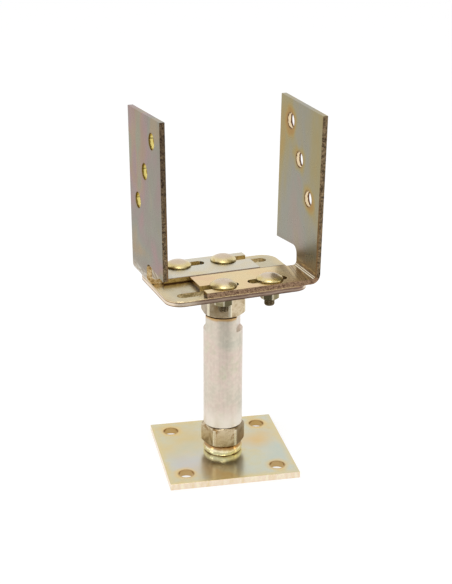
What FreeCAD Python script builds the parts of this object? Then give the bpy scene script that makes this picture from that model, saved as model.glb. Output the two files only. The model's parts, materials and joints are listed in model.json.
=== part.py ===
# Adjustable timber post base: a base plate to bolt down, a screw with a turning sleeve between
# two locknuts, and a head plate with two L-shaped brackets clamped to it by carriage bolts.
# Millimetres and degrees. The origin is the centre of the base plate's underside, and +Z is up.
# The base plate is square to X and Y. The head stands turned about Z by head_turn.
import FreeCAD, Part
import math
import os

# Base plate
base_side = 100.0
base_thickness = 5.0
base_hole_diameter = 11.5
base_hole_spacing = 71.0

# Screw: two studs in one sleeve, each welded to its plate and held by a locknut
screw_diameter = 20.0
screw_clearance = 0.08
stud_gap = 2.0
weld_height = 7.7
weld_foot = 2.6
weld_belly = 4.8
weld_belly_start = 2.2
weld_belly_end = 4.8
weld_ripples = 24
weld_joint_gap = 0.02
sleeve_diameter = 30.0
sleeve_length = 92.0
sleeve_edge_chamfer = 0.6
sleeve_flat_width = 23.6
sleeve_flat_height = 12.5
sleeve_turn = -22.0
locknut_flats = 30.0
locknut_height = 16.0
lower_locknut_turn = -5.0
upper_locknut_turn = -23.0

# Head plate
head_turn = 9.5
head_length = 110.0
head_width = 75.0
head_thickness = 4.0
head_corner_radius = 12.0
head_slot_inner_end = 2.5
head_slot_outer_end = 45.5

# Brackets: one bent sheet each, the same part twice, turned half round. The bend is a little off
# square to the sheet, so the upright leans in its own plane by upright_lean.
bracket_thickness = 4.0
bracket_bend_radius = 3.0
bracket_height = 126.5
upright_width = 72.0
upright_lean = 1.9
leg_length = 89.0
leg_gap = 0.6
right_face_distance = 62.2
left_face_distance = 58.8
relief_depth = 3.0
relief_radius = 6.0
relief_reach = 12.0
relief_height = 18.0
relief_free_height = 15.4
leg_slot_start = 22.0
leg_slot_end = 53.0
fork_slot_start = 60.5
post_hole_diameter = 12.0
post_hole_count = 3
post_hole_first_height = 60.0
post_hole_rise = 25.0
post_hole_shift = 17.5

# Carriage bolts and their nuts
bolt_diameter = 8.0
bolt_length = 20.0
bolt_head_diameter = 20.0
bolt_head_height = 4.65
bolt_rim_height = 0.9
bolt_dome_steps = 4
bolt_head_sides = 32
bolt_neck_length = 4.6
bolt_line_distance = 26.0
bolt_inner_distance = 10.0
bolt_outer_distance = 26.6
slot_clearance = 0.5
nut_flats = 13.0
nut_height = 6.5
nut_clearance = 0.05
nut_turns = {"front_left": -98.0, "front_right": -85.0, "back_left": -70.0, "back_right": -110.0}

# Small edges
edge_break = 0.3
hex_washer_face_share = 0.95
hex_chamfer_angle = 30.0
hex_chamfer_sides = 24

# Heights that follow from the stack, from the floor up
screw_radius = screw_diameter / 2
lower_nut_bottom = base_thickness + weld_height
sleeve_bottom = lower_nut_bottom + locknut_height
sleeve_top = sleeve_bottom + sleeve_length
upper_weld_bottom = sleeve_top + locknut_height
head_bottom = upper_weld_bottom + weld_height
head_top = head_bottom + head_thickness
leg_top = head_top + bracket_thickness
stud_engagement = (sleeve_length - stud_gap) / 2
slot_width = bolt_diameter + slot_clearance
bend_reach = bracket_bend_radius + bracket_thickness
bracket_front = -head_width / 2
bracket_back = bracket_front + upright_width

ORIGIN = FreeCAD.Vector(0, 0, 0)
UP = FreeCAD.Vector(0, 0, 1)
# How far a cutting tool runs past the faces that it cuts
OVERCUT = 2.0


def turned(shape, angle):
    """A copy of the shape, turned about the Z axis."""
    copy = shape.copy()
    copy.rotate(ORIGIN, UP, angle)
    return copy


def moved(shape, x=0.0, y=0.0, z=0.0):
    copy = shape.copy()
    copy.translate(FreeCAD.Vector(x, y, z))
    return copy


def block(x_range, y_range, z_range):
    corner = FreeCAD.Vector(x_range[0], y_range[0], z_range[0])
    size = [high - low for low, high in (x_range, y_range, z_range)]
    return Part.makeBox(size[0], size[1], size[2], corner)


def rod(radius, bottom, top, x=0.0, y=0.0):
    return Part.makeCylinder(radius, top - bottom, FreeCAD.Vector(x, y, bottom))


def revolved(outline):
    """A solid turned about Z from (radius, height) points, closed in order."""
    points = [FreeCAD.Vector(radius, 0, height) for radius, height in outline]
    face = Part.Face(Part.makePolygon(points + points[:1]))
    return face.revolve(ORIGIN, UP, 360)


def ring_corners(radius, height, sides):
    """The corners of a regular ring about Z, back to the first one."""
    corners = []
    for step in range(sides + 1):
        angle = 2 * math.pi * step / sides
        corners.append(FreeCAD.Vector(radius * math.cos(angle), radius * math.sin(angle), height))
    return corners


def faceted(outline, sides):
    """A flat-sided solid about Z through (radius, height) points, from its underside to its top."""
    rings = [ring_corners(radius, height, sides) for radius, height in outline]
    faces = [Part.Face(Part.makePolygon(rings[0])), Part.Face(Part.makePolygon(rings[-1]))]
    for low, high in zip(rings, rings[1:]):
        for step in range(sides):
            corners = [low[step], low[step + 1], high[step + 1], high[step], low[step]]
            faces.append(Part.Face(Part.makePolygon(corners)))
    shell = Part.makeShell(faces)
    shell.sewShape()
    return Part.makeSolid(shell)


def slot_tool(start, end, line, bottom, top):
    """A round-ended slot along X between two end points, centred on y = line."""
    radius = slot_width / 2
    tool = block((start + radius, end - radius), (line - radius, line + radius), (bottom, top))
    for x in (start + radius, end - radius):
        tool = tool.fuse(rod(radius, bottom, top, x, line))
    return tool.removeSplitter()


def broken_edges(shape, chosen, size):
    """The shape with a small chamfer along each chosen edge."""
    edges = [edge for edge in shape.Edges if chosen(edge)]
    return shape.makeChamfer(size, edges)


def lies_at_height(edge, height):
    box = edge.BoundBox
    return abs(box.ZMin - height) < 0.001 and abs(box.ZMax - height) < 0.001


def hex_nut(flats, height, bore_radius, bottom, turn, top_chamfer=True):
    """A hexagon nut, one corner at the angle turn, with its underside and perhaps its top chamfered."""
    corner_radius = flats / 2 / math.cos(math.radians(30))
    corners = []
    for step in range(7):
        angle = math.radians(60 * step)
        x = corner_radius * math.cos(angle)
        y = corner_radius * math.sin(angle)
        corners.append(FreeCAD.Vector(x, y, 0))
    prism = Part.Face(Part.makePolygon(corners)).extrude(FreeCAD.Vector(0, 0, height))
    face_radius = hex_washer_face_share * flats / 2
    reach = corner_radius + OVERCUT
    rise = (reach - face_radius) * math.tan(math.radians(hex_chamfer_angle))
    outline = [(face_radius, 0), (reach, rise)]
    if top_chamfer:
        outline += [(reach, height - rise), (face_radius, height)]
    else:
        outline.append((reach, height))
    envelope = faceted(outline, hex_chamfer_sides)
    bore = rod(bore_radius, -OVERCUT, height + OVERCUT)
    nut = prism.common(envelope).cut(bore)
    return moved(turned(nut, turn), z=bottom)


def weld_bead(bottom):
    """A full round weld between a stud and the plate that it stands on, one flat to a ripple."""
    foot = screw_radius + weld_foot
    belly = screw_radius + weld_belly
    outline = [(foot, 0), (belly, weld_belly_start), (belly, weld_belly_end), (foot, weld_height)]
    core = rod(screw_radius + weld_joint_gap, -OVERCUT, weld_height + OVERCUT)
    return moved(faceted(outline, weld_ripples).cut(core), z=bottom)


def base_plate():
    half = base_side / 2
    plate = block((-half, half), (-half, half), (0, base_thickness))
    plate = broken_edges(plate, lambda edge: lies_at_height(edge, base_thickness), edge_break)
    reach = base_hole_spacing / 2
    for x in (-reach, reach):
        for y in (-reach, reach):
            hole = rod(base_hole_diameter / 2, -OVERCUT, base_thickness + OVERCUT, x, y)
            plate = plate.cut(hole)
    return plate


def lower_stud():
    return rod(screw_radius, base_thickness, sleeve_bottom + stud_engagement)


def upper_stud():
    return rod(screw_radius, sleeve_top - stud_engagement, head_bottom)


def locknut(bottom, turn):
    bore_radius = screw_radius + screw_clearance
    return hex_nut(locknut_flats, locknut_height, bore_radius, bottom, turn)


def sleeve():
    """The long round nut that joins the studs, with two spanner flats at its top."""
    outer = sleeve_diameter / 2
    chamfer = sleeve_edge_chamfer
    bore = screw_radius + screw_clearance
    body = revolved([
        (bore, sleeve_bottom), (outer - chamfer, sleeve_bottom), (outer, sleeve_bottom + chamfer),
        (outer, sleeve_top - chamfer), (outer - chamfer, sleeve_top), (bore, sleeve_top),
    ])
    flat_range = (sleeve_top - sleeve_flat_height, sleeve_top + OVERCUT)
    reach = sleeve_diameter / 2 + OVERCUT
    for side in (-1, 1):
        near = side * sleeve_flat_width / 2
        far = side * reach
        waste = block((min(near, far), max(near, far)), (-reach, reach), flat_range)
        body = body.cut(turned(waste, sleeve_turn))
    return body


def head_plate():
    half_length = head_length / 2
    half_width = head_width / 2
    plate = block((-half_length, half_length), (-half_width, half_width), (head_bottom, head_top))
    corners = [edge for edge in plate.Edges if edge.BoundBox.ZLength > head_thickness / 2]
    plate = plate.makeFillet(head_corner_radius, corners)
    plate = broken_edges(plate, lambda edge: lies_at_height(edge, head_top), edge_break)
    for line in (-bolt_line_distance, bolt_line_distance):
        for start, end in (
            (head_slot_inner_end, head_slot_outer_end),
            (-head_slot_outer_end, -head_slot_inner_end),
        ):
            tool = slot_tool(start, end, line, head_bottom - OVERCUT, head_top + OVERCUT)
            plate = plate.cut(tool)
    return turned(plate, head_turn)


def bend_section():
    """The leg and the bend from the side: the outer face is at x = 0 and the leg runs to -x."""
    diagonal = math.cos(math.radians(45))

    def bend(radius):
        start = FreeCAD.Vector(-bend_reach, 0, bend_reach - radius)
        middle = FreeCAD.Vector(-bend_reach + radius * diagonal, 0, bend_reach - radius * diagonal)
        end = FreeCAD.Vector(-bend_reach + radius, 0, bend_reach)
        return start, Part.Arc(start, middle, end).toShape(), end

    outer_start, outer_bend, outer_end = bend(bend_reach)
    inner_start, inner_bend, inner_end = bend(bracket_bend_radius)
    leg_end_low = FreeCAD.Vector(-leg_length, 0, 0)
    leg_end_high = FreeCAD.Vector(-leg_length, 0, bracket_thickness)
    edges = [
        Part.makeLine(leg_end_low, outer_start), outer_bend, Part.makeLine(outer_end, inner_end),
        inner_bend, Part.makeLine(inner_start, leg_end_high), Part.makeLine(leg_end_high, leg_end_low),
    ]
    return Part.Face(Part.Wire(edges))


def on_upright(y, z):
    """A point of the inner side of the upright, leaning with it about its front corner at the bend."""
    lean = math.radians(upright_lean)
    along = y - bracket_front
    rise = z - bend_reach
    leaning_y = bracket_front + along * math.cos(lean) - rise * math.sin(lean)
    leaning_z = bend_reach + along * math.sin(lean) + rise * math.cos(lean)
    return FreeCAD.Vector(-bracket_thickness, leaning_y, leaning_z)


def upright():
    corners = [
        FreeCAD.Vector(-bracket_thickness, bracket_front, bend_reach),
        FreeCAD.Vector(-bracket_thickness, bracket_back, bend_reach),
        on_upright(bracket_back, bracket_height), on_upright(bracket_front, bracket_height),
    ]
    outline = Part.Face(Part.makePolygon(corners + corners[:1]))
    return outline.extrude(FreeCAD.Vector(bracket_thickness, 0, 0))


def relief_tool():
    """What is sheared away beside the bend, up to the free half of the upright."""
    wall = -leg_gap / 2 - relief_depth
    far = upright_width + OVERCUT
    turn_start = FreeCAD.Vector(0, wall, relief_height - relief_radius)
    turn_end = FreeCAD.Vector(0, wall + relief_radius, relief_height)
    diagonal = relief_radius * (1 - math.cos(math.radians(45)))
    turn_middle = FreeCAD.Vector(0, wall + diagonal, relief_height - diagonal)
    slope = (relief_height - relief_free_height) / (bracket_back - turn_end.y)
    high_far = FreeCAD.Vector(0, far, relief_height - slope * (far - turn_end.y))
    low_far = FreeCAD.Vector(0, far, -OVERCUT)
    low_near = FreeCAD.Vector(0, wall, -OVERCUT)
    corner_arc = Part.Arc(turn_start, turn_middle, turn_end).toShape()
    sides = Part.makePolygon([turn_end, high_far, low_far, low_near, turn_start])
    outline = Part.Face(Part.Wire([corner_arc] + sides.Edges))
    return moved(outline.extrude(FreeCAD.Vector(relief_reach + OVERCUT, 0, 0)), x=-relief_reach)


def bracket():
    """One bracket, with its outer face at x = 0 and its underside at z = 0."""
    foot = moved(bend_section().extrude(FreeCAD.Vector(0, upright_width, 0)), y=bracket_front)
    beside_leg = block(
        (-leg_length - OVERCUT, -bend_reach), (-leg_gap / 2, bracket_back + OVERCUT),
        (-OVERCUT, bracket_thickness + OVERCUT),
    )
    sheet = foot.fuse(upright()).cut(beside_leg).cut(relief_tool())
    line = -bolt_line_distance
    leg_slot = slot_tool(-leg_slot_end, -leg_slot_start, line, -OVERCUT, bracket_thickness + OVERCUT)
    fork_end = -leg_length - slot_width
    fork_slot = slot_tool(fork_end, -fork_slot_start, line, -OVERCUT, bracket_thickness + OVERCUT)
    sheet = sheet.cut(leg_slot).cut(fork_slot)
    middle = (post_hole_count - 1) / 2
    reach = bracket_thickness + 2 * OVERCUT
    for index in range(post_hole_count):
        y = (bracket_front + bracket_back) / 2 + post_hole_shift * (index - middle)
        z = post_hole_first_height + post_hole_rise * index
        start = on_upright(y, z) - FreeCAD.Vector(OVERCUT, 0, 0)
        drill = Part.makeCylinder(post_hole_diameter / 2, reach, start, FreeCAD.Vector(1, 0, 0))
        sheet = sheet.cut(drill)
    return sheet.removeSplitter()


def placed_bracket(side):
    """The right bracket, or the left one turned half round, on the head plate."""
    distance = right_face_distance if side == "right" else left_face_distance
    shape = moved(bracket(), x=distance, z=head_top)
    if side == "left":
        shape = turned(shape, 180)
    return turned(shape, head_turn)


def carriage_bolt():
    """A mushroom-headed bolt with a square neck; the head's underside is at z = 0."""
    head_radius = bolt_head_diameter / 2
    dome_height = bolt_head_height - bolt_rim_height
    dome_radius = (head_radius ** 2 + dome_height ** 2) / (2 * dome_height)
    full_angle = math.asin(head_radius / dome_radius)
    outline = [(head_radius, 0)]
    for step in range(bolt_dome_steps):
        angle = full_angle * (1 - step / bolt_dome_steps)
        height = bolt_head_height - dome_radius * (1 - math.cos(angle))
        outline.append((dome_radius * math.sin(angle), height))
    crown_radius = outline.pop()[0]
    outline.append((crown_radius, bolt_head_height))
    head = faceted(outline, bolt_head_sides)
    half = bolt_diameter / 2
    neck = block((-half, half), (-half, half), (-bolt_neck_length, bolt_rim_height / 2))
    shank = rod(half, -bolt_length, 0)
    return head.fuse(neck).fuse(shank).removeSplitter()


def bolt_places():
    """Each bolt's name and its place in the head's own axes."""
    inner = bolt_inner_distance
    outer = bolt_outer_distance
    line = bolt_line_distance
    return {
        "front_left": (-inner, -line), "front_right": (outer, -line),
        "back_left": (-outer, line), "back_right": (inner, line),
    }


def on_head(shape, place):
    """The shape moved to its place on the head and turned with it."""
    return turned(moved(shape, place[0], place[1]), head_turn)


def all_parts():
    shapes = {
        "base_plate": base_plate(),
        "lower_stud": lower_stud(),
        "lower_weld": weld_bead(base_thickness),
        "lower_locknut": locknut(lower_nut_bottom, lower_locknut_turn),
        "sleeve": sleeve(),
        "upper_locknut": locknut(sleeve_top, upper_locknut_turn),
        "upper_weld": weld_bead(upper_weld_bottom),
        "upper_stud": upper_stud(),
        "head_plate": head_plate(),
        "left_bracket": placed_bracket("left"),
        "right_bracket": placed_bracket("right"),
    }
    bolt = moved(carriage_bolt(), z=leg_top)
    bore_radius = bolt_diameter / 2 + nut_clearance
    for corner, place in bolt_places().items():
        shapes["carriage_bolt_" + corner] = on_head(bolt, place)
        turn = nut_turns[corner] - head_turn
        nut = hex_nut(nut_flats, nut_height, bore_radius, head_bottom - nut_height, turn, False)
        shapes["bolt_nut_" + corner] = on_head(nut, place)
    return shapes


os.makedirs("parts", exist_ok=True)
for node, shape in all_parts().items():
    shape.exportStep("parts/" + node + ".step")
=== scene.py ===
import json
import math
import random

import bmesh
import bpy
from mathutils import Euler, Matrix, Vector


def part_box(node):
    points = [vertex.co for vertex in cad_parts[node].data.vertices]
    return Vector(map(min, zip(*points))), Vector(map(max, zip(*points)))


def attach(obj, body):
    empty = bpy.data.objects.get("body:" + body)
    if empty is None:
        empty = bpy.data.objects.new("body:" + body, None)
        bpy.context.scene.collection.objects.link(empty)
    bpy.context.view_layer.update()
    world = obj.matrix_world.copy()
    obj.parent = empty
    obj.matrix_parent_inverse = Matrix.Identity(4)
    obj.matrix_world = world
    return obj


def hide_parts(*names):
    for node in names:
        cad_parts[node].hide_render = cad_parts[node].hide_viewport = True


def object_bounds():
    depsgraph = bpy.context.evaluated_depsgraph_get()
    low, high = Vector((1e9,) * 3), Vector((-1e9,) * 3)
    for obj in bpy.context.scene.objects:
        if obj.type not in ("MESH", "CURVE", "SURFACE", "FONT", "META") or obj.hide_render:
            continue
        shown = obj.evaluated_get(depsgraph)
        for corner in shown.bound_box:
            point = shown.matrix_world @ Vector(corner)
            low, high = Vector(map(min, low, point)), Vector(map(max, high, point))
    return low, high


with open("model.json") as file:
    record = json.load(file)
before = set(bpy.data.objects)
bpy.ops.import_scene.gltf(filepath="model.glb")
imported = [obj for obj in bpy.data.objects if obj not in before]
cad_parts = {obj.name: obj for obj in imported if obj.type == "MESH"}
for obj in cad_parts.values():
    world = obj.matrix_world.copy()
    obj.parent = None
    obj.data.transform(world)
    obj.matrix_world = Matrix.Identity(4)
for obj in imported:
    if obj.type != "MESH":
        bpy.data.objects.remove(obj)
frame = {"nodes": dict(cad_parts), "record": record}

CAD_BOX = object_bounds()
MM = 0.001

# What the frame says about sizes and places
MOUNTS = {mount["name"]: mount for mount in frame["record"]["mounts"]}
HEAD_AXIS = Vector(MOUNTS["left_cheek_face"]["axis"])
HEAD_TURN = math.atan2(HEAD_AXIS.y, HEAD_AXIS.x)
SHEET = MOUNTS["right_hole_low"]["dims"]["length_mm"] * MM
POST_HOLE_RADIUS = MOUNTS["right_hole_low"]["dims"]["r_mm"] * MM
HEAD_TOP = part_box("head_plate")[1].z
LEG_TOP = HEAD_TOP + SHEET
TOP = CAD_BOX[1].z
CORNERS = ("front_left", "front_right", "back_left", "back_right")

# Sizes that the frame doesn't give
HEAD_HALF_LENGTH = 55.0 * MM
HEAD_HALF_WIDTH = 37.5 * MM
HEAD_CORNER = 12.0 * MM
BOLT_LINE = 26.0 * MM
SCREW_PITCH = 2.5 * MM
SCREW_CHAMFER = 1.5 * MM
BOLT_PITCH = 1.25 * MM
BOLT_RADIUS = 4.0 * MM
BOLT_NECK_LENGTH = 4.6 * MM
BOLT_RIM_HEIGHT = 0.9 * MM
BOLT_TIP_CHAMFER = 0.8 * MM
THREAD_DEPTH_SHARE = 0.58
THREAD_FLAT_SHARE = 0.12
LOCKNUT_FLATS = 30 * MM
LOCKNUT_BORE = 10.08 * MM
NUT_FLATS = 13 * MM
NUT_BORE = 4.05 * MM
NUT_FACE_SHARE = 0.95
NUT_CHAMFER_SLOPE = math.tan(math.radians(30))
WELD_BORE = 10.02 * MM
SHEARED_EDGE = 0.22 * MM
PLATE_EDGE = 0.35 * MM
TUBE_EDGE = 0.15 * MM

# Painted shade on each nut's facets, standing in for what each facet mirrors, from 0 for pale to 1 for
# dark: those that face 0 to 60 degrees, and so on round
FACET_PAINTED_SHADES = {
    "lower_locknut": (0.3, 0.1, 0.25, 0.1, 0.0, 0.85),
    "upper_locknut": (0.1, 0.3, 0.2, 0.62, 0.55, 0.0),
    "bolt_nut": (0.5, 0.1, 0.6, 0.1, 1.0, 0.0),
}


# Mesh helpers


def finish_mesh(name, mesh, sharp_angle):
    """An object with smooth faces, and hard edges where they turn by more than sharp_angle degrees."""
    form = bmesh.new()
    form.from_mesh(mesh)
    bmesh.ops.recalc_face_normals(form, faces=form.faces)
    for face in form.faces:
        face.smooth = True
    for edge in form.edges:
        turns = len(edge.link_faces) == 2 and edge.calc_face_angle() > math.radians(sharp_angle)
        edge.smooth = not turns
    form.to_mesh(mesh)
    form.free()
    piece = bpy.data.objects.new(name, mesh)
    bpy.context.scene.collection.objects.link(piece)
    return piece


def ring(columns, radius, height):
    """One level ring of points about Z. The radius is a number or a function of the angle."""
    points = []
    for column in range(columns):
        angle = 2 * math.pi * column / columns
        reach = radius(angle) if callable(radius) else radius
        points.append((reach * math.cos(angle), reach * math.sin(angle), height))
    return points


def skin(name, rings, centre, closed, sharp_angle):
    """A solid through rings of points: a closed loop of rings, or one capped at both ends."""
    columns = len(rings[0])
    points = [Vector(point) + centre for level in rings for point in level]
    faces = []
    for low in range(len(rings) - (0 if closed else 1)):
        high = (low + 1) % len(rings)
        for column in range(columns):
            after = (column + 1) % columns
            faces.append((
                low * columns + column, low * columns + after,
                high * columns + after, high * columns + column,
            ))
    if not closed:
        top = (len(rings) - 1) * columns
        faces.append(tuple(reversed(range(columns))))
        faces.append(tuple(range(top, top + columns)))
    mesh = bpy.data.meshes.new(name)
    mesh.from_pydata(points, [], faces)
    return finish_mesh(name, mesh, sharp_angle)


def soft_min(first, second, blend):
    """The smaller of two numbers, rounded over where they cross."""
    share = max(blend - abs(first - second), 0) / blend
    return min(first, second) - share * share * blend / 4


def foot_centre(node):
    """The middle of a node's lowest level."""
    low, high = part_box(node)
    return Vector(((low.x + high.x) / 2, (low.y + high.y) / 2, low.z))


def softened(node, width):
    """A copy of a CAD node's mesh with its hard edges rounded."""
    mesh = frame["nodes"][node].data.copy()
    mesh.name = node + "_finished"
    if "custom_normal" in mesh.attributes:
        mesh.attributes.remove(mesh.attributes["custom_normal"])
    form = bmesh.new()
    form.from_mesh(mesh)
    bmesh.ops.remove_doubles(form, verts=form.verts, dist=0.001 * MM)
    flat = math.radians(0.5)
    hard = math.radians(35)
    bmesh.ops.dissolve_limit(form, angle_limit=flat, verts=form.verts, edges=form.edges)
    hard_edges = [
        edge for edge in form.edges
        if len(edge.link_faces) == 2 and edge.calc_face_angle() > hard
    ]
    bmesh.ops.bevel(
        form, geom=hard_edges, offset=width, offset_type="OFFSET", segments=2,
        profile=0.6, affect="EDGES", clamp_overlap=True,
    )
    form.to_mesh(mesh)
    form.free()
    piece = finish_mesh(node + "_finished", mesh, sharp_angle=50)
    piece.modifiers.new("flat faces stay flat", "WEIGHTED_NORMAL").keep_sharp = True
    return piece


def fit(piece, node, body, material):
    """The piece stands for a CAD node, moves with its body and gets its one material."""
    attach(piece, body)
    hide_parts(node)
    piece.data.materials.clear()
    piece.data.materials.append(material)


# Threads, nuts, bolts and welds


def thread_radius(angle, height, radius, pitch, hand):
    """The surface of a 60 degree thread with slightly flattened crests and roots.

    The hand is 1 for a right-hand thread and -1 for a left-hand one.
    """
    phase = (height / pitch - hand * angle / (2 * math.pi)) % 1
    wave = (abs(2 * phase - 1) - THREAD_FLAT_SHARE) / (1 - 2 * THREAD_FLAT_SHARE)
    return radius - THREAD_DEPTH_SHARE * pitch * min(max(wave, 0), 1)


def threaded_stud(node, hand, free_end_up):
    """An M20 stud with its thread, chamfered at the free end."""
    low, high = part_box(node)
    radius = (high.x - low.x) / 2
    length = high.z - low.z
    columns = 72
    rows_a_turn = 10
    rows = int(length / SCREW_PITCH * rows_a_turn)
    rings = []
    for row in range(rows + 1):
        height = length * row / rows
        from_end = length - height if free_end_up else height
        limit = radius - SCREW_CHAMFER + from_end

        def reach(angle, height=height, limit=limit):
            return min(thread_radius(angle, height, radius, SCREW_PITCH, hand), limit)

        rings.append(ring(columns, reach, height))
    return skin(node + "_threaded", rings, Vector((0, 0, low.z)), closed=False, sharp_angle=60)


def corner_angle(node, centre):
    """The angle of one corner of a nut, read from its solid."""
    corners = [vertex.co - centre for vertex in frame["nodes"][node].data.vertices]
    farthest = max(corners, key=lambda corner: corner.xy.length)
    return math.atan2(farthest.y, farthest.x)


def nut(node, flats, bore, columns, rows, countersink, painted_shades):
    """A hexagon nut with rounded corners and the curved lines that its chamfers leave.

    Its points carry corner_wear, 1 at a worn corner, and facet_painted_shade, its facet's share of the
    painted shade.
    """
    low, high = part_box(node)
    height = high.z - low.z
    centre = foot_centre(node)
    corner = corner_angle(node, centre)
    face_radius = NUT_FACE_SHARE * flats / 2
    corner_radius = flats / 2 / math.cos(math.radians(30))
    corner_limit = 0.99 * corner_radius
    corner_blend = 0.02 * flats
    chamfer_blend = 0.014 * flats
    rings = []
    for row in range(rows + 1):
        level = height * row / rows
        cone = face_radius + min(level, height - level) / NUT_CHAMFER_SLOPE

        def reach(angle, cone=cone):
            off_flat = (angle - corner) % math.radians(60) - math.radians(30)
            side = soft_min(flats / 2 / math.cos(off_flat), corner_limit, corner_blend)
            return soft_min(side, cone, chamfer_blend)

        rings.append(ring(columns, reach, level))
    for radius, level in (
        (bore + countersink, height), (bore, height - countersink),
        (bore, countersink), (bore + countersink, 0),
    ):
        rings.append(ring(columns, radius, level))
    piece = skin(node + "_chamfered", rings, centre, closed=True, sharp_angle=30)
    unworn_share = 0.92
    worn_span = 0.055
    wear = []
    facet_shade_values = []
    for vertex in piece.data.vertices:
        offset = vertex.co - centre
        wear.append((offset.xy.length / corner_radius - unworn_share) / worn_span)
        past_corner = math.degrees(math.atan2(offset.y, offset.x) - corner) % 360
        facing = (math.floor(past_corner / 60) * 60 + 30 + math.degrees(corner)) % 360
        facet_shade_values.append(painted_shades[int(facing / 60) % 6])
    for name, values in (("corner_wear", wear), ("facet_painted_shade", facet_shade_values)):
        attribute = piece.data.attributes.new(name, "FLOAT", "POINT")
        attribute.data.foreach_set("value", values)
    return piece


def shank_rings(columns, length):
    """The threaded shank of a carriage bolt, from its chamfered tip up."""
    rows_a_turn = 8
    rows = int(length / BOLT_PITCH * rows_a_turn)
    rings = []
    for row in range(rows + 1):
        level = length * row / rows
        limit = BOLT_RADIUS - BOLT_TIP_CHAMFER + level

        def reach(angle, level=level, limit=limit):
            return min(thread_radius(angle, level, BOLT_RADIUS, BOLT_PITCH, hand=1), limit)

        rings.append(ring(columns, reach, level))
    return rings


def head_rings(columns, radius, under_head, crown):
    """The mushroom head of a carriage bolt: a low rim with rounded edges, and a dome."""
    dome_height = crown - under_head - BOLT_RIM_HEIGHT
    dome_radius = (radius ** 2 + dome_height ** 2) / (2 * dome_height)
    full_angle = math.asin(radius / dome_radius)
    rounding = 0.25 * MM
    rings = [
        ring(columns, radius - rounding, under_head),
        ring(columns, radius, under_head + rounding),
        ring(columns, radius, under_head + BOLT_RIM_HEIGHT - rounding),
    ]
    steps = 16
    first_share, last_share = 0.985, 0.02
    for step in range(steps):
        angle = full_angle * (first_share - (first_share - last_share) * step / (steps - 1))
        level = crown - dome_radius * (1 - math.cos(angle))
        rings.append(ring(columns, dome_radius * math.sin(angle), level))
    return rings


def carriage_bolt(corner):
    """A mushroom-headed bolt with a square neck and a threaded shank, from its tip up."""
    node = "carriage_bolt_" + corner
    low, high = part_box(node)
    under_head = LEG_TOP - low.z
    threaded = under_head - BOLT_NECK_LENGTH
    columns = 64
    neck_start = 0.3 * MM
    neck_corner = 1.32 * BOLT_RADIUS
    neck_blend = 0.4 * MM

    def square(angle):
        turned = (angle - HEAD_TURN + math.pi / 4) % (math.pi / 2) - math.pi / 4
        return soft_min(BOLT_RADIUS / math.cos(turned), neck_corner, neck_blend)

    rings = shank_rings(columns, threaded)
    rings.append(ring(columns, square, threaded + neck_start))
    rings.append(ring(columns, square, under_head))
    rings.extend(head_rings(columns, (high.x - low.x) / 2, under_head, high.z - low.z))
    return skin(node + "_turned", rings, foot_centre(node), closed=False, sharp_angle=40)


def eased(values, place):
    """The value at a place along a closed round of values, with soft turns at each of them."""
    index = int(place) % len(values)
    after = (index + 1) % len(values)
    part = place - int(place)
    return values[index] + (values[after] - values[index]) * part * part * (3 - 2 * part)


def weld_bead(node, seed):
    """A round weld bead about the stud, fullest near its foot, with faint overlapping ripples."""
    low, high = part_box(node)
    height = high.z - low.z
    belly_radius = (high.x - low.x) / 2 + 0.45 * MM
    belly_share = 0.36
    drawn_in_above = 3.0 * MM
    drawn_in_below = 1.1 * MM
    crest_height = 0.12 * MM
    draw = random.Random(seed)
    ripples = 22
    swell = [draw.uniform(-0.2, 0.2) * MM for _ in range(ripples)]
    spread = [draw.uniform(-0.6, 0.3) * MM for _ in range(ripples)]
    columns = 240
    rows = 26
    rings = []
    for row in range(rows + 1):
        share = row / rows
        above = max(share - belly_share, 0) / (1 - belly_share)
        below = max(belly_share - share, 0) / belly_share
        body = belly_radius - drawn_in_above * above ** 2 - drawn_in_below * below ** 2

        def reach(angle, body=body, share=share, above=above, below=below):
            place = angle / (2 * math.pi) * ripples + 0.5 * share
            crest = crest_height * (1 - abs(2 * (place - int(place)) - 1) ** 3)
            grown = eased(swell, place) + crest
            return body + grown * (1 - above) + eased(spread, place) * below ** 2

        rings.append(ring(columns, reach, height * share))
    rings.append(ring(columns, WELD_BORE, height))
    rings.append(ring(columns, WELD_BORE, 0))
    return skin(node + "_rippled", rings, foot_centre(node), closed=True, sharp_angle=60)


# Materials


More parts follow.
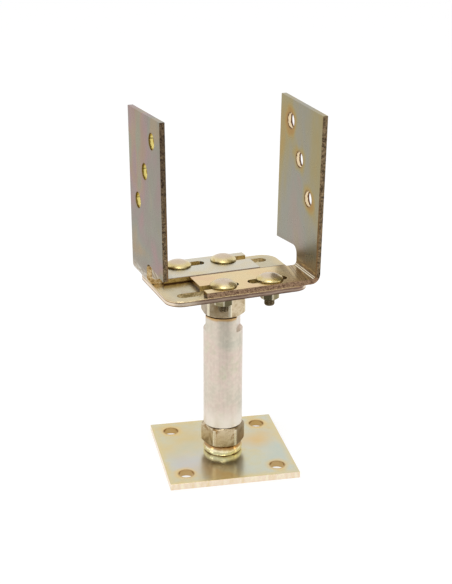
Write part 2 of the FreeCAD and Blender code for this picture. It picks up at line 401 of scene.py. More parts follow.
class Finish:
    """A metal finish under construction: its node tree, and short ways to add to it."""

    def __init__(self, name, roughness):
        self.material = bpy.data.materials.new(name)
        self.material.use_nodes = True
        self.tree = self.material.node_tree
        self.shader = self.tree.nodes["Principled BSDF"]
        self.shader.inputs["Metallic"].default_value = 1.0
        self.shader.inputs["Roughness"].default_value = roughness
        coordinates = self.add("ShaderNodeTexCoord")
        self.place = coordinates.outputs["Object"]
        self.normal = coordinates.outputs["Normal"]

    def add(self, kind, **settings):
        """A new node of a kind, with some of its settings."""
        node = self.tree.nodes.new(kind)
        for name, value in settings.items():
            setattr(node, name, value)
        return node

    def connect(self, value, socket):
        """Link a socket to another one, or set it to a constant."""
        if isinstance(value, bpy.types.NodeSocket):
            self.tree.links.new(value, socket)
        else:
            socket.default_value = value

    def maths(self, operation, first, second=0.0):
        """The result of a Math node."""
        node = self.add("ShaderNodeMath", operation=operation)
        self.connect(first, node.inputs[0])
        self.connect(second, node.inputs[1])
        return node.outputs[0]

    def plus(self, first, second):
        """The sum of two numbers."""
        return self.maths("ADD", first, second)

    def minus(self, first, second):
        """The difference of two numbers."""
        return self.maths("SUBTRACT", first, second)

    def times(self, first, *others):
        """The product of two or more numbers."""
        for other in others:
            first = self.maths("MULTIPLY", first, other)
        return first

    def apart(self, first, second):
        """How far two numbers are apart."""
        return self.maths("ABSOLUTE", self.minus(first, second))

    def vector(self, operation, first, second=(0, 0, 0)):
        """The result of a Vector Math node."""
        node = self.add("ShaderNodeVectorMath", operation=operation)
        self.connect(first, node.inputs[0])
        self.connect(second, node.inputs[1])
        return node.outputs["Value" if operation in ("DISTANCE", "DOT_PRODUCT") else 0]

    def split(self, vector):
        """The three parts of a vector."""
        node = self.add("ShaderNodeSeparateXYZ")
        self.connect(vector, node.inputs[0])
        return node.outputs

    def mapped(self, scale=(1, 1, 1), turn=0.0, shift=(0, 0, 0)):
        """The place on the piece, stretched, turned about Z and moved."""
        node = self.add("ShaderNodeMapping")
        self.connect(self.place, node.inputs["Vector"])
        node.inputs["Location"].default_value = shift
        node.inputs["Rotation"].default_value = (0, 0, turn)
        node.inputs["Scale"].default_value = scale
        return node.outputs[0]

    def noise(self, scale, detail=3.0, vector=None, distortion=0.0):
        """Noise from 0 to 1 over the piece, or over another vector."""
        node = self.add("ShaderNodeTexNoise")
        self.connect(vector or self.place, node.inputs["Vector"])
        node.inputs["Scale"].default_value = scale
        node.inputs["Detail"].default_value = detail
        node.inputs["Distortion"].default_value = distortion
        return node.outputs["Fac"]

    def wobble(self, scale, reach, detail=2.0):
        """A value from 0 to reach that wanders over the piece."""
        return self.times(self.noise(scale, detail), reach)

    def fade(self, value, start, end):
        """0 before start and 1 past end, or the other way round when start is the larger."""
        node = self.add("ShaderNodeMapRange", interpolation_type="SMOOTHSTEP")
        self.connect(value, node.inputs["Value"])
        node.inputs["From Min"].default_value = min(start, end)
        node.inputs["From Max"].default_value = max(start, end)
        node.inputs["To Min"].default_value = 0.0 if start < end else 1.0
        node.inputs["To Max"].default_value = 1.0 if start < end else 0.0
        return node.outputs[0]

    def tint(self, under, over, *shares):
        """One colour, giving way to another as the product of the shares goes from 0 to 1."""
        node = self.add("ShaderNodeMix", data_type="RGBA")
        self.connect(self.times(*shares), node.inputs[0])
        self.connect(under, node.inputs[6])
        self.connect(over, node.inputs[7])
        return node.outputs[2]

    def ramp(self, value, stops):
        """A colour ramp from pairs of a place and a colour."""
        node = self.add("ShaderNodeValToRGB")
        self.connect(value, node.inputs[0])
        elements = node.color_ramp.elements
        while len(elements) < len(stops):
            elements.new(0.5)
        for element, (place, colour) in zip(elements, stops):
            element.position = place
            element.color = colour
        return node.outputs[0]

    def bump(self, height, depth, below=None):
        """A bump of the given depth in metres, over another one if below is given."""
        node = self.add("ShaderNodeBump")
        node.inputs["Distance"].default_value = depth
        self.connect(height, node.inputs["Height"])
        if below:
            self.connect(below, node.inputs["Normal"])
        return node.outputs[0]

    def done(self, colour, roughness, normal):
        """The finished material."""
        self.connect(colour, self.shader.inputs["Base Color"])
        self.connect(roughness, self.shader.inputs["Roughness"])
        self.connect(normal, self.shader.inputs["Normal"])
        return self.material


def shade(red, green, blue):
    """A colour written as it shows on screen, from 0 to 255, as linear light."""
    def linear(level):
        level /= 255
        return level / 12.92 if level <= 0.04045 else ((level + 0.055) / 1.055) ** 2.4
    return (linear(red), linear(green), linear(blue), 1.0)


def zinc_clouds(finish, stops, seed, scale):
    """Slow changes of the passivation's colour, with a finer mottle over them."""
    vector = finish.mapped(shift=(seed, seed * 0.7, seed * 1.3))
    broad = finish.noise(scale, 2.0, vector, 0.6)
    fine = finish.noise(scale * 9, 3.0, vector)
    return finish.ramp(finish.plus(finish.times(broad, 0.82), finish.times(fine, 0.18)), stops)


def satin(finish, low, high, scale=60.0):
    """A roughness that drifts between two values."""
    return finish.plus(finish.times(finish.noise(scale, 3.0), high - low), low)


def rolled_skin(finish, depth=0.006 * MM):
    """The faint orange peel of zinc on rolled sheet."""
    peel = finish.bump(finish.noise(420, 3.0), depth * 2)
    return finish.bump(finish.noise(1900, 2.0), depth, peel)


def torn_grain(finish, scale):
    """The height of the broken grain on a sheared side, from 0 to 1."""
    grain = finish.noise(scale, 4.0)
    coarse = finish.noise(scale * 0.3, 3.0)
    return finish.plus(finish.times(grain, 0.6), finish.times(coarse, 0.4))


# Patches of another tint on the base plate: x and y in mm, reach, share and colour
BASE_PATCHES = (
    (-22, 20, 26, 0.75, shade(216, 188, 122)), (-40, 2, 16, 0.55, shade(218, 194, 138)),
    (30, 8, 20, 0.75, shade(222, 182, 116)), (-28, -24, 22, 0.5, shade(200, 190, 196)),
    (20, -26, 20, 0.45, shade(204, 202, 172)), (8, 38, 14, 0.4, shade(212, 192, 136)),
)


def base_plate_finish():
    """Passivated plate, gold round its holes and along its edges, with paler sheared sides."""
    finish = Finish("plate_zinc_base", roughness=0.2)
    half_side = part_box("base_plate")[1].x
    bolts = MOUNTS["base_bolts"]["dims"]
    hole_radius = bolts["hole_r_mm"] * MM
    hole_place = bolts["spacing_x_mm"] / 2 * MM
    colour = zinc_clouds(finish, (
        (0.30, shade(192, 200, 188)), (0.44, shade(202, 202, 184)), (0.52, shade(208, 200, 166)),
        (0.60, shade(214, 192, 142)), (0.70, shade(200, 194, 184)),
    ), seed=3.1, scale=22)
    flat_place = finish.vector("MULTIPLY", finish.place, (1, 1, 0))
    # A ragged border takes up to 26 mm off each patch, so the fade starts 20 mm past its reach
    ragged = finish.wobble(38, 26 * MM, 3.0)
    for patch_x, patch_y, reach, share, patch_colour in BASE_PATCHES:
        away = finish.vector("DISTANCE", flat_place, (patch_x * MM, patch_y * MM, 0))
        patch = finish.fade(finish.plus(away, ragged), (reach + 20) * MM, 9 * MM)
        colour = finish.tint(colour, patch_colour, patch, share)
    # One quarter of the plate stands for all four
    quarter = finish.vector("ABSOLUTE", flat_place)
    from_hole = finish.vector("DISTANCE", quarter, (hole_place, hole_place, 0))
    wobble = finish.wobble(90, 5 * MM)
    halo = finish.fade(finish.plus(from_hole, wobble), 14 * MM, 7.5 * MM)
    colour = finish.tint(colour, shade(224, 190, 120), halo, 0.75)
    lip = finish.fade(from_hole, hole_radius + 1.3 * MM, hole_radius + 0.3 * MM)
    colour = finish.tint(colour, shade(156, 118, 66), lip, 0.5)
    x, y, _ = finish.split(quarter)
    from_edge = finish.minus(half_side, finish.maths("MAXIMUM", x, y))
    rim = finish.fade(finish.plus(from_edge, wobble), 9 * MM, 2 * MM)
    colour = finish.tint(colour, shade(222, 200, 142), rim, 0.55)
    side = finish.fade(from_edge, 0.3 * MM, 0.05 * MM)
    side_colour = finish.ramp(finish.noise(260, 4.0, finish.mapped((1, 1, 0.4))), (
        (0.38, shade(234, 214, 178)), (0.5, shade(238, 220, 198)), (0.62, shade(242, 230, 204)),
    ))
    colour = finish.tint(colour, side_colour, side)
    return finish.done(colour, satin(finish, 0.16, 0.3), rolled_skin(finish))


def hole_centres(side):
    """The upright's hole centres, low to high, in the head's own axes, at the inner face of the sheet."""
    centres = []
    for name in ("low", "middle", "high"):
        centre = Vector(MOUNTS[side + "_hole_" + name]["pos_m"])
        centre.rotate(Euler((0, 0, -HEAD_TURN)))
        centres.append(centre)
    return centres


class BracketPlace:
    """Where a point on a bracket lies, as sockets, along the head's own axes."""

    def __init__(self, finish, side):
        own = finish.mapped(turn=-HEAD_TURN)
        self.x, self.y, z = finish.split(own)
        self.over_leg = finish.minus(z, LEG_TOP)
        self.from_joint = finish.apart(self.y, 0.0)
        centres = hole_centres(side)
        inner_face = centres[0].x + (SHEET / 2 if side == "left" else -SHEET / 2)
        self.depth = finish.apart(self.x, inner_face)
        self.holes = [Vector((0, centre.y, centre.z)) for centre in centres]
        self.on_face = finish.vector("MULTIPLY", own, (0, 1, 1))
        distances = [finish.vector("DISTANCE", self.on_face, hole) for hole in self.holes]
        nearer = finish.maths("MINIMUM", distances[0], distances[1])
        self.to_hole = finish.maths("MINIMUM", nearer, distances[2])
        turn_back = finish.add("ShaderNodeVectorRotate", rotation_type="Z_AXIS")
        finish.connect(finish.normal, turn_back.inputs["Vector"])
        turn_back.inputs["Angle"].default_value = -HEAD_TURN
        facing = finish.split(turn_back.outputs[0])
        self.end_on = finish.fade(finish.apart(facing[0], 0.0), 0.80, 0.92)
        self.side_on = finish.fade(finish.apart(facing[1], 0.0), 0.80, 0.92)


# The passivation's colours on the uprights, from a thin film to a thick one, darker than the legs' as
# painted shade, the left upright's darkest
UPRIGHT_FILM_SHADED = {
    "left": (
        (0.10, shade(147, 115, 59)), (0.28, shade(141, 118, 78)), (0.42, shade(122, 117, 97)),
        (0.54, shade(126, 110, 97)), (0.66, shade(139, 105, 99)), (0.78, shade(143, 113, 82)),
        (0.90, shade(128, 122, 92)),
    ),
    "right": (
        (0.05, shade(160, 122, 51)), (0.20, shade(160, 134, 70)), (0.34, shade(150, 137, 94)),
        (0.46, shade(146, 138, 112)), (0.58, shade(140, 137, 123)), (0.70, shade(148, 134, 121)),
        (0.84, shade(150, 138, 106)),
    ),
}
FILM_SEED = {"left": 0.17, "right": 0.63}


def upright_colour(finish, side, at):
    """The film on an upright: its colour follows its thickness, which the holes and edges change, in
    colours darker than the leg's as painted shade.
    """
    seed = FILM_SEED[side]
    broad = finish.noise(17, 2.0, finish.mapped((1, 1, 0.55), shift=(seed, 0.3, 0.1)), 0.8)
    fine = finish.noise(150, 3.0, finish.mapped((1, 1, 0.35), shift=(seed, 0, 0)))
    patches = finish.noise(52, 2.0, finish.mapped((1, 1, 0.6), shift=(0.4, seed, 0.2)), 0.5)
    wobble = finish.wobble(70, 9 * MM)
    halo = finish.fade(finish.plus(at.to_hole, wobble), 19 * MM, 9 * MM)
    # A band that joins the three holes
    row = (at.holes[2] - at.holes[0]).normalized()
    from_middle = finish.vector("SUBTRACT", at.on_face, at.holes[1])
    along_row = finish.apart(finish.vector("DOT_PRODUCT", from_middle, row), 0.0)
    off_row = finish.apart(finish.vector("DOT_PRODUCT", from_middle, Vector((0, -row.z, row.y))), 0.0)
    joined = finish.times(finish.fade(finish.plus(off_row, wobble), 14 * MM, 3 * MM),
                          finish.fade(along_row, 46 * MM, 30 * MM))
    under_top = finish.minus(TOP - LEG_TOP, finish.plus(at.over_leg, wobble))
    top = finish.fade(under_top, 22 * MM, 2 * MM)
    if side == "left":
        thickness = -0.45
        front = finish.fade(at.y, 10 * MM, -28 * MM)
        low = finish.fade(at.over_leg, 52 * MM, 8 * MM)
        terms = ((broad, 1.5), (patches, 0.35), (fine, 0.16), (halo, -0.07), (joined, 0.05),
                 (top, -0.16), (front, 0.20), (low, -0.13))
    else:
        thickness = -0.2
        front = finish.fade(finish.minus(at.y, wobble), -20 * MM, -34 * MM)
        back = finish.fade(at.y, 12 * MM, 34 * MM)
        terms = ((broad, 1.2), (patches, 0.25), (fine, 0.16), (halo, -0.36), (joined, -0.10),
                 (top, -0.05), (back, -0.12), (front, -0.08))
    for value, weight in terms:
        thickness = finish.plus(thickness, finish.times(value, weight))
    return finish.ramp(thickness, UPRIGHT_FILM_SHADED[side])


# The passivation's colours on the legs, and a seed for their clouds
LEG_CLOUDS = {
    "left": ((0.3, shade(202, 202, 188)), (0.5, shade(208, 200, 180)), (0.7, shade(212, 196, 156))),
    "right": ((0.3, shade(220, 202, 158)), (0.5, shade(226, 200, 148)), (0.7, shade(222, 186, 146))),
}
LEG_SEED = {"left": 2.9, "right": 7.7}


def folded_colour(finish, side, at):
    """The leg, the bend and the upright, with a painted reflection in streaks beside the bend, and
    painted shade and highlights in it.
    """
    colour = zinc_clouds(finish, LEG_CLOUDS[side], LEG_SEED[side], scale=40)
    streaks = finish.noise(1.0, 3.0, finish.mapped((900, 12, 900), turn=-HEAD_TURN))
    # Dark streaks on the leg beside the bend: a painted reflection of the upright, in streaks like press
    # marks
    near_bend = finish.fade(at.depth, 19 * MM, 7 * MM)
    colour = finish.tint(colour, shade(132, 106, 72), near_bend, finish.fade(streaks, 0.32, 0.60), 0.9)
    # The upright takes the darker film colours, as painted shade against the leg
    upright = finish.fade(at.over_leg, 2 * MM, 9 * MM)
    colour = finish.tint(colour, upright_colour(finish, side, at), upright)
    # Painted shade on the upright's foot, near the bend
    foot = finish.fade(at.over_leg, 20 * MM, 5 * MM)
    colour = finish.tint(colour, shade(126, 106, 80), foot, upright, 0.5)
    # Painted shade of the narrow gap where the two legs meet
    joint_gap_shade = finish.times(finish.fade(at.from_joint, 1.7 * MM, 0.9 * MM),
                           finish.fade(at.over_leg, 1 * MM, 0.3 * MM))
    colour = finish.tint(colour, shade(92, 58, 42), joint_gap_shade, 0.9)
    # The inside of the bend: painted shade in streaks, with a painted highlight line to each side of its
    # middle
    in_bend = finish.times(finish.fade(at.depth, 3.5 * MM, 3.1 * MM),
                           finish.fade(at.over_leg, 3.4 * MM, 2.2 * MM),
                           finish.fade(at.over_leg, 0.02 * MM, 0.2 * MM))
    bend_shade = finish.tint(shade(112, 90, 64), shade(156, 132, 98), finish.fade(streaks, 0.4, 0.6))
    colour = finish.tint(colour, bend_shade, in_bend)
    from_line = finish.apart(finish.apart(at.over_leg, 0.8 * MM), 0.45 * MM)
    bright = finish.fade(from_line, 0.26 * MM, 0.08 * MM)
    return finish.tint(colour, shade(236, 226, 200), in_bend, bright)


# A punched hole's wall in bands by depth, after its rolled-over, smooth and torn zones: the dark bands
# are painted shade inside the hole
HOLE_WALL_SHADED = {
    "left": (shade(152, 124, 46), shade(230, 212, 128), shade(128, 108, 50)),
    "right": (shade(112, 76, 40), shade(238, 216, 178), shade(104, 72, 46)),
}


def with_hole_walls(finish, side, at, colour):
    """The colour, with the walls of the post holes, their dark bands painted shade, and the darker lip
    round each.
    """
    rolled, smooth, torn = HOLE_WALL_SHADED[side]
    bore = finish.fade(at.to_hole, POST_HOLE_RADIUS + 0.16 * MM, POST_HOLE_RADIUS + 0.02 * MM)
    ragged = finish.plus(at.depth, finish.wobble(380, 2.2 * MM, 3.0))
    # The wall's dark bands are painted shade inside the hole
    wall = finish.tint(rolled, smooth, finish.fade(ragged, 1.4 * MM, 2.0 * MM))
    wall = finish.tint(wall, torn, finish.fade(ragged, 3.4 * MM, 4.0 * MM))
    colour = finish.tint(colour, wall, bore)
    lip = finish.fade(at.to_hole, POST_HOLE_RADIUS + 1.4 * MM, POST_HOLE_RADIUS + 0.2 * MM)
    return finish.tint(colour, shade(128, 92, 40), lip, 0.45, finish.minus(1.0, bore))


def sheared_colour(finish, side, at, height):
    """The sheared sides: torn and nearly black, with a smoother brown band along the inner face."""
    colour = finish.ramp(height, ((0.40, shade(52, 40, 32)), (0.60, shade(158, 136, 104))))
    band_depth = finish.plus(finish.wobble(26, 4.5 * MM), -0.9 * MM)
    band = finish.fade(finish.minus(at.depth, band_depth), 0.35 * MM, -0.35 * MM)
    low = finish.fade(at.over_leg, 80 * MM, 40 * MM)
    colour = finish.tint(colour, shade(132, 100, 62), band, low, 0.7)
    if side == "left":
        high = finish.fade(at.over_leg, 40 * MM, 90 * MM)
        colour = finish.tint(colour, shade(52, 38, 34), high, 0.5)
    # The relief beside the bend: its torn side painted pale, as painted light where it lies in shade
    pale = finish.ramp(height, (
        (0.40, shade(164, 130, 80)), (0.52, shade(216, 186, 132)), (0.62, shade(246, 232, 200)),
    ))
    colour = finish.tint(colour, pale, finish.fade(at.from_joint, 14 * MM, 12 * MM),
                         finish.fade(at.over_leg, 24 * MM, 20 * MM))
    # The leg's side at the joint is olive, lightened as painted light in its shade, with a painted shadow
    # at its foot, and the walls of its slots are that olive too
    olive = finish.ramp(height, ((0.40, shade(158, 132, 70)), (0.60, shade(216, 188, 122))))
    joint = finish.times(finish.fade(at.from_joint, 2.2 * MM, 1.2 * MM),
                         finish.fade(at.over_leg, 3 * MM, 1 * MM),
                         finish.fade(finish.apart(at.x, 0.0), 24 * MM, 27 * MM))
    colour = finish.tint(colour, olive, joint)
    joint_foot_shadow = finish.fade(at.over_leg, 1.5 * MM - SHEET, 0.5 * MM - SHEET)
    colour = finish.tint(colour, shade(84, 54, 32), joint_foot_shadow, joint)
    in_leg = finish.fade(at.over_leg, 1 * MM, 0)
    from_slot = finish.apart(at.from_joint, BOLT_LINE)
    colour = finish.tint(colour, olive, finish.fade(from_slot, 6 * MM, 5 * MM), in_leg)
    # The leg's outer side is pinker
    pink = finish.ramp(height, ((0.40, shade(110, 82, 62)), (0.60, shade(188, 154, 126))))
    outer = finish.fade(at.from_joint, 32 * MM, 34 * MM)
    return finish.tint(colour, pink, outer, in_leg, 0.7)


def with_leg_end(finish, at, colour):
    """The colour, with the leg's end: dark below, gold where it rounds over to the top."""
    share = finish.maths("DIVIDE", finish.plus(at.over_leg, SHEET), SHEET)
    cut = finish.ramp(share, (
        (0.1, shade(78, 52, 34)), (0.45, shade(132, 104, 66)), (0.7, shade(166, 138, 86)),
        (0.9, shade(214, 186, 120)),
    ))
    return finish.tint(colour, cut, at.end_on, finish.fade(at.over_leg, 1 * MM, 0),
                       finish.fade(at.depth, 50 * MM, 55 * MM))


def bracket_finish(side):
    """Passivated sheet: gold round its holes, dark torn edges, an upright darker than its leg as painted
    shade, painted shade and highlights in the bend.
    """
    finish = Finish("bracket_zinc_" + side, roughness=0.25)
    at = BracketPlace(finish, side)
    colour = folded_colour(finish, side, at)
    colour = with_hole_walls(finish, side, at, colour)
    height = torn_grain(finish, scale=1400)
    off_holes = finish.fade(at.to_hole, POST_HOLE_RADIUS + 0.6 * MM, POST_HOLE_RADIUS + 1.5 * MM)
    torn = finish.times(at.side_on, off_holes)
    colour = finish.tint(colour, sheared_colour(finish, side, at, height), torn)
    colour = with_leg_end(finish, at, colour)
    roughness = finish.plus(satin(finish, 0.2, 0.34), finish.times(torn, 0.25))
    tear = finish.bump(finish.times(height, torn), 0.25 * MM, rolled_skin(finish))
    return finish.done(colour, roughness, tear)


def rim_colour(finish, lines, height, covered):
    """The head plate's rim in level bands, pale where it is free and brown under a leg as painted shade.
    """
    share = finish.maths("DIVIDE", finish.minus(height, HEAD_TOP - SHEET), SHEET)
    drift = finish.times(finish.minus(lines, 0.5), 0.3)
    free = finish.ramp(finish.plus(share, drift), (
        (0.02, shade(112, 84, 58)), (0.14, shade(178, 148, 112)), (0.26, shade(228, 210, 186)),
        (0.60, shade(236, 220, 200)), (0.72, shade(134, 102, 72)), (0.82, shade(206, 180, 140)),
        (0.94, shade(236, 216, 184)),
    ))
    brown = finish.ramp(finish.plus(share, finish.times(drift, 2.0)), (
        (0.05, shade(88, 66, 54)), (0.25, shade(150, 126, 110)), (0.45, shade(186, 164, 146)),
        (0.60, shade(104, 80, 66)), (0.78, shade(160, 132, 114)), (0.95, shade(120, 92, 74)),
    ))
    return finish.tint(free, brown, covered)


def head_plate_finish():
    """Passivated plate: grey in the middle, gold near its edges, a smooth rim with fine lines."""
    finish = Finish("plate_zinc_head", roughness=0.25)
    own = finish.mapped(turn=-HEAD_TURN)
    x, y, z = finish.split(own)
    # One quarter of the plate stands for all four
    quarter = finish.vector("MULTIPLY", finish.vector("ABSOLUTE", own), (1, 1, 0))
    across, along, _ = finish.split(quarter)
    from_end = finish.minus(HEAD_HALF_LENGTH, across)
    from_side = finish.minus(HEAD_HALF_WIDTH, along)
    from_edge = finish.maths("MINIMUM", from_end, from_side)
    colour = zinc_clouds(finish, (
        (0.30, shade(190, 186, 160)), (0.45, shade(192, 180, 146)),
        (0.56, shade(196, 186, 158)), (0.70, shade(186, 172, 146)),
    ), seed=4.4, scale=36)
    gold = finish.fade(finish.plus(from_edge, finish.wobble(60, 9 * MM)), 14 * MM, 5 * MM)
    colour = finish.tint(colour, shade(220, 196, 144), gold, 0.5)
    # The rim, round the corners too, apart from the walls of the slots
    corner_x, corner_y = HEAD_HALF_LENGTH - HEAD_CORNER, HEAD_HALF_WIDTH - HEAD_CORNER
    from_corner = finish.vector("DISTANCE", quarter, (corner_x, corner_y, 0))
    corner = finish.times(finish.fade(from_corner, HEAD_CORNER - 0.8 * MM, HEAD_CORNER - 0.3 * MM),
                          finish.fade(across, corner_x, corner_x + 1 * MM),
                          finish.fade(along, corner_y, corner_y + 1 * MM))
    rim = finish.maths("MAXIMUM", finish.fade(from_edge, 2.5 * MM, 0.8 * MM), corner)
    lines = finish.noise(1.0, 3.0, finish.mapped((60, 60, 1500)))
    # Painted shade on the rim where a leg lies over it
    beside = finish.times(x, finish.maths("SIGN", y))
    covered = finish.times(finish.fade(beside, 42 * MM, 28 * MM),
                           finish.fade(from_side, 3 * MM, 1 * MM))
    height = torn_grain(finish, scale=700)
    slot_wall = finish.ramp(height, ((0.40, shade(160, 138, 92)), (0.60, shade(228, 206, 156))))
    side_colour = finish.tint(slot_wall, rim_colour(finish, lines, z, covered), rim)
    facing_up = finish.apart(finish.split(finish.normal)[2], 0.0)
    side = finish.fade(facing_up, 0.5, 0.2)
    colour = finish.tint(colour, side_colour, side)
    roughness = finish.plus(satin(finish, 0.2, 0.34), finish.times(side, 0.1))
    in_slots = finish.times(side, finish.minus(1.0, rim))
    tear = finish.bump(finish.times(height, in_slots), 0.15 * MM, rolled_skin(finish))
    return finish.done(colour, roughness, finish.bump(finish.times(lines, side), 0.05 * MM, tear))


def sleeve_finish():
    """Turned steel under pale zinc: fine tool lines round it, faint runs down it, painted shade at its
    ends.
    """
    finish = Finish("sleeve_zinc_turned", roughness=0.34)
    low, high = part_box("sleeve")
    z = finish.split(finish.place)[2]
    colour = zinc_clouds(finish, (
        (0.32, shade(200, 196, 180)), (0.46, shade(212, 202, 186)),
        (0.56, shade(220, 202, 190)), (0.68, shade(202, 200, 174)),
    ), seed=6.2, scale=34)
    runs = finish.fade(finish.noise(1.0, 3.0, finish.mapped((420, 420, 16))), 0.40, 0.66)
    colour = finish.tint(colour, shade(176, 166, 148), runs, 0.16)
    mottle = finish.fade(finish.noise(330, 4.0), 0.42, 0.62)
    colour = finish.tint(colour, shade(240, 230, 214), mottle, 0.22)
    level = finish.plus(z, finish.wobble(120, 3 * MM))
    foot = finish.fade(level, low.z + 22 * MM, low.z + 4 * MM)
    colour = finish.tint(colour, shade(240, 232, 220), foot, 0.85)
    tip = finish.fade(level, high.z - 1.6 * MM, high.z + 0.6 * MM)
    colour = finish.tint(colour, shade(192, 148, 76), tip, 0.8)
    # Painted shade at the ends, where the sleeve meets the locknuts
    ends = finish.maths("MAXIMUM", finish.fade(z, low.z + 0.75 * MM, low.z + 0.35 * MM),
                        finish.fade(z, high.z - 0.6 * MM, high.z - 0.3 * MM))
    colour = finish.tint(colour, shade(74, 56, 42), ends)
    tool_lines = finish.noise(1.0, 2.0, finish.mapped((90, 90, 2600)))
    turned = finish.bump(tool_lines, 0.012 * MM, rolled_skin(finish))
    return finish.done(colour, satin(finish, 0.30, 0.42), turned)


def nut_finish(name, seed, stops, dark):
    """Zinc over forged steel, with some facets darker as painted shade and its corners worn pale."""
    finish = Finish(name, roughness=0.3)
    tone = finish.add("ShaderNodeAttribute", attribute_name="facet_painted_shade").outputs["Fac"]
    wear = finish.add("ShaderNodeAttribute", attribute_name="corner_wear").outputs["Fac"]
    # Painted shade: the darker facets
    colour = finish.tint(zinc_clouds(finish, stops, seed, scale=110), dark, tone, 0.8)
    worn = finish.fade(finish.plus(wear, finish.wobble(240, 0.3, 4.0)), 0.75, 1.05)
    colour = finish.tint(colour, shade(232, 222, 196), worn, 0.8)
    pits = finish.bump(finish.noise(700, 4.0), 0.05 * MM)
    return finish.done(colour, satin(finish, 0.22, 0.36, scale=200), pits)


def bolt_finish():
    """Bright yellow zinc, greyer on the crown of the head."""
    finish = Finish("bolt_zinc_bright", roughness=0.16)
    over_leg = finish.minus(finish.split(finish.place)[2], LEG_TOP)
    colour = zinc_clouds(finish, (
        (0.32, shade(204, 180, 118)), (0.48, shade(220, 202, 146)),
        (0.60, shade(226, 210, 166)), (0.72, shade(196, 168, 100)),
    ), seed=8.8, scale=90)
    crown = finish.fade(over_leg, 2.0 * MM, 4.0 * MM)
    colour = finish.tint(colour, shade(204, 186, 172), crown, 0.75)
    rim = finish.fade(over_leg, 1.3 * MM, 0.6 * MM)
    colour = finish.tint(colour, shade(112, 96, 46), rim, 0.8)
    shank = finish.fade(over_leg, -0.5 * MM, -3 * MM)
    colour = finish.tint(colour, shade(138, 126, 104), shank)
    return finish.done(colour, satin(finish, 0.2, 0.34, scale=180), rolled_skin(finish, depth=0.016 * MM))


def screw_finish():
    """Duller yellow zinc on the big threads."""
    finish = Finish("screw_zinc_thread", roughness=0.3)
    colour = zinc_clouds(finish, (
        (0.32, shade(172, 148, 96)), (0.5, shade(198, 176, 126)), (0.68, shade(206, 192, 158)),
    ), seed=9.6, scale=60)
    return finish.done(colour, satin(finish, 0.24, 0.4, scale=150), rolled_skin(finish, depth=0.01 * MM))


def weld_finish():
    """Glossy zinc over the two beads, brown at their tops as a painted reflection of the nut above, and
    brown at their feet.
    """
    finish = Finish("weld_metal_bead", roughness=0.14)
    colour = zinc_clouds(finish, (
        (0.34, shade(214, 190, 128)), (0.46, shade(246, 234, 180)),
        (0.56, shade(252, 246, 212)), (0.68, shade(236, 218, 160)),
    ), seed=2.2, scale=45)
    low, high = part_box("lower_weld")
    height = high.z - low.z
    between_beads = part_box("upper_weld")[0].z - low.z
    over_foot = finish.minus(finish.split(finish.place)[2], low.z)
    rise = finish.maths("MODULO", over_foot, between_beads)
    level = finish.plus(rise, finish.wobble(200, 1.6 * MM))
    # Brown at the top of each bead: a painted reflection of the nut over it; brown at the foot as well
    top = finish.fade(level, height - 3.2 * MM, height - 1.2 * MM)
    foot = finish.fade(level, 1.7 * MM, 1.0 * MM)
    colour = finish.tint(colour, shade(150, 100, 36), finish.maths("MAXIMUM", top, foot), 0.85)
    spatter = finish.bump(finish.noise(800, 3.0), 0.03 * MM)
    return finish.done(colour, satin(finish, 0.12, 0.22, scale=260), spatter)


# The pieces


def build_base(screw_metal, weld_metal):
    """The plate on the floor, with its stud and weld."""
    plate = softened("base_plate", PLATE_EDGE)
    fit(plate, "base_plate", "base", base_plate_finish())
    stud = threaded_stud("lower_stud", hand=1, free_end_up=True)
    fit(stud, "lower_stud", "base", screw_metal)
    bead = weld_bead("lower_weld", seed=11)
    fit(bead, "lower_weld", "base", weld_metal)


def build_screw():
    """The sleeve that raises and lowers the head, and the locknuts at its ends."""
    locknut_metal = nut_finish("locknut_zinc_worn_facet_shaded", seed=3.9, stops=(
        (0.30, shade(136, 112, 76)), (0.46, shade(186, 166, 132)),
        (0.58, shade(214, 198, 168)), (0.72, shade(158, 130, 90)),
    ), dark=shade(104, 82, 48))
    for node in ("lower_locknut", "upper_locknut"):
        piece = nut(node, LOCKNUT_FLATS, LOCKNUT_BORE, columns=252, rows=48,
                    countersink=1.0 * MM, painted_shades=FACET_PAINTED_SHADES[node])
        fit(piece, node, "locknuts", locknut_metal)
    tube = softened("sleeve", TUBE_EDGE)
    fit(tube, "sleeve", "sleeve", sleeve_finish())


def build_head(screw_metal, weld_metal):
    """The plate under the brackets, with its stud, weld, bolts and nuts."""
    plate = softened("head_plate", PLATE_EDGE)
    fit(plate, "head_plate", "head", head_plate_finish())
    stud = threaded_stud("upper_stud", hand=-1, free_end_up=False)
    fit(stud, "upper_stud", "head", screw_metal)
    bead = weld_bead("upper_weld", seed=23)
    fit(bead, "upper_weld", "head", weld_metal)
    bolt_metal = bolt_finish()
    nut_metal = nut_finish("bolt_nut_zinc_worn_facet_shaded", seed=6.6, stops=(
        (0.30, shade(112, 104, 78)), (0.46, shade(138, 128, 96)),
        (0.58, shade(168, 158, 128)), (0.72, shade(122, 116, 84)),
    ), dark=shade(84, 78, 56))
    for corner in CORNERS:
        fit(carriage_bolt(corner), "carriage_bolt_" + corner, "head", bolt_metal)
        node = "bolt_nut_" + corner
        piece = nut(node, NUT_FLATS, NUT_BORE, columns=144, rows=24,
                    countersink=0.5 * MM, painted_shades=FACET_PAINTED_SHADES["bolt_nut"])
        fit(piece, node, "head", nut_metal)


def build_brackets():
    """The two folded uprights that hold the post."""
    for side in ("left", "right"):
        node = side + "_bracket"
        fit(softened(node, SHEARED_EDGE), node, node, bracket_finish(side))


# Floor, light and camera


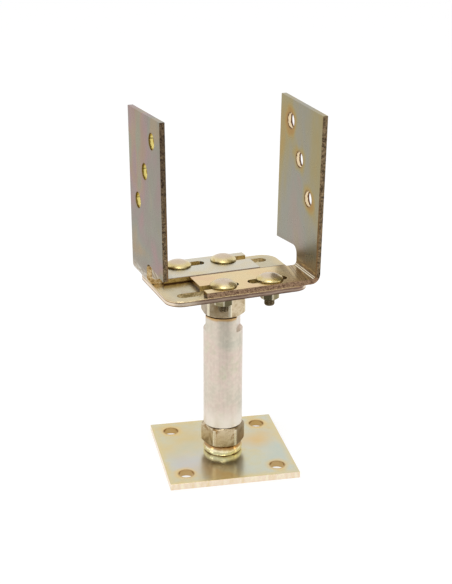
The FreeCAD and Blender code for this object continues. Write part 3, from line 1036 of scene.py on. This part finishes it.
def background_share(tree):
    """1 for the rays that see the background: the camera's, and reflected or refracted ones."""
    path = tree.nodes.new("ShaderNodeLightPath")
    total = path.outputs["Is Camera Ray"]
    for name in ("Is Glossy Ray", "Is Transmission Ray"):
        added = tree.nodes.new("ShaderNodeMath")
        added.operation = "MAXIMUM"
        tree.links.new(total, added.inputs[0])
        tree.links.new(path.outputs[name], added.inputs[1])
        total = added.outputs[0]
    return total


def matt_paint(name, grey):
    """A grey material without a sheen."""
    paint = bpy.data.materials.new(name)
    paint.use_nodes = True
    shader = paint.node_tree.nodes["Principled BSDF"]
    shader.inputs["Base Color"].default_value = (grey, grey, grey, 1)
    shader.inputs["Roughness"].default_value = 0.9
    shader.inputs["Specular IOR Level"].default_value = 0.0
    return paint


def level_sheet(name, across, along, height, paint):
    """A flat rectangle that spans two pairs of limits, in X and in Y."""
    (left, right), (front, back) = across, along
    corners = [(left, front, height), (right, front, height), (right, back, height), (left, back, height)]
    mesh = bpy.data.meshes.new(name)
    mesh.from_pydata(corners, [], [(0, 1, 2, 3)])
    mesh.materials.append(paint)
    sheet = bpy.data.objects.new(name, mesh)
    bpy.context.scene.collection.objects.link(sheet)
    return sheet


def build_floor():
    """A matt floor that is grey to the light and shines white to what sees the background."""
    reach = 12.0
    glow_level = 0.68
    paint = matt_paint("floor_white", grey=0.42)
    tree = paint.node_tree
    glow = tree.nodes.new("ShaderNodeEmission")
    seen = tree.nodes.new("ShaderNodeMath")
    seen.operation = "MULTIPLY"
    tree.links.new(background_share(tree), seen.inputs[0])
    seen.inputs[1].default_value = glow_level
    tree.links.new(seen.outputs[0], glow.inputs["Strength"])
    both = tree.nodes.new("ShaderNodeAddShader")
    tree.links.new(tree.nodes["Principled BSDF"].outputs[0], both.inputs[0])
    tree.links.new(glow.outputs[0], both.inputs[1])
    tree.links.new(both.outputs[0], tree.nodes["Material Output"].inputs["Surface"])
    span = (-reach, reach)
    floor = level_sheet("studio_floor", across=span, along=span, height=0, paint=paint)


def build_world():
    """White for the background and for what the metal mirrors, dimmer light from the camera's side."""
    dim_level = 0.35
    full_level = 1.0
    world = bpy.data.worlds.new("studio")
    bpy.context.scene.world = world
    world.use_nodes = True
    tree = world.node_tree
    sky = tree.nodes["Background"]
    coordinates = tree.nodes.new("ShaderNodeTexCoord")
    parts = tree.nodes.new("ShaderNodeSeparateXYZ")
    tree.links.new(coordinates.outputs["Generated"], parts.inputs[0])
    towards_back = tree.nodes.new("ShaderNodeMapRange")
    towards_back.interpolation_type = "SMOOTHSTEP"
    tree.links.new(parts.outputs["Y"], towards_back.inputs["Value"])
    towards_back.inputs["From Min"].default_value = -0.9
    towards_back.inputs["From Max"].default_value = 0.5
    towards_back.inputs["To Min"].default_value = dim_level
    towards_back.inputs["To Max"].default_value = full_level
    level = tree.nodes.new("ShaderNodeMix")
    tree.links.new(background_share(tree), level.inputs[0])
    tree.links.new(towards_back.outputs[0], level.inputs[2])
    level.inputs[3].default_value = full_level
    tree.links.new(level.outputs[0], sky.inputs["Strength"])
    sky.inputs["Color"].default_value = (1, 1, 1, 1)


def build_reflection_card():
    """A dark card that only reflections show, which paints dark reflections into the metal."""
    felt = matt_paint("front_dark_reflection_card", grey=0.16)
    card = level_sheet("front_dark_reflection_card", across=(-0.36, 0.26), along=(-0.54, -0.26), height=0.001, paint=felt)
    # Painted reflection: only glossy rays see the card
    card.visible_camera = card.visible_diffuse = card.visible_shadow = False


def soft_box(name, place, aim, size, power):
    """A rectangular lamp that points from a place at an aim. The camera doesn't see it."""
    lamp = bpy.data.lights.new(name, "AREA")
    lamp.shape = "RECTANGLE"
    lamp.size, lamp.size_y = size
    lamp.energy = power
    holder = bpy.data.objects.new(name, lamp)
    holder.location = place
    direction = Vector(aim) - Vector(place)
    holder.rotation_euler = direction.to_track_quat("-Z", "Y").to_euler()
    holder.visible_camera = False
    bpy.context.scene.collection.objects.link(holder)


def build_lights():
    """One lamp overhead and one to each side, all aimed at the object's middle."""
    middle = (0, 0, 0.13)
    soft_box("overhead_box", (-0.1, -0.35, 1.35), aim=middle, size=(0.55, 0.45), power=3.0)
    soft_box("left_box", (-1.3, -0.3, 0.75), aim=middle, size=(0.35, 0.6), power=1.4)
    soft_box("right_box", (1.35, -0.5, 0.6), aim=middle, size=(0.35, 0.6), power=1.4)


def build_camera():
    """A long lens in front of the object, a little to its left and well above it."""
    data = bpy.data.cameras.new("camera")
    data.lens = 76.21
    data.shift_x = -0.0013
    data.shift_y = 0.0169
    data.clip_end = 60
    camera = bpy.data.objects.new("camera", data)
    azimuth, elevation, roll = math.radians(-12.03), math.radians(21.40), math.radians(0.30)
    aim = Euler((math.pi / 2 - elevation, 0, azimuth)).to_matrix()
    camera.matrix_world = (aim @ Matrix.Rotation(roll, 3, "Z")).to_4x4()
    camera.location = (-0.17832, -0.84985, 0.46889)
    bpy.context.scene.collection.objects.link(camera)
    bpy.context.scene.camera = camera


screw_metal = screw_finish()
weld_metal = weld_finish()
build_base(screw_metal, weld_metal)
build_screw()
build_head(screw_metal, weld_metal)
build_brackets()
build_floor()
build_world()
build_reflection_card()
build_lights()
build_camera()
bpy.context.scene.view_settings.view_transform = "Standard"
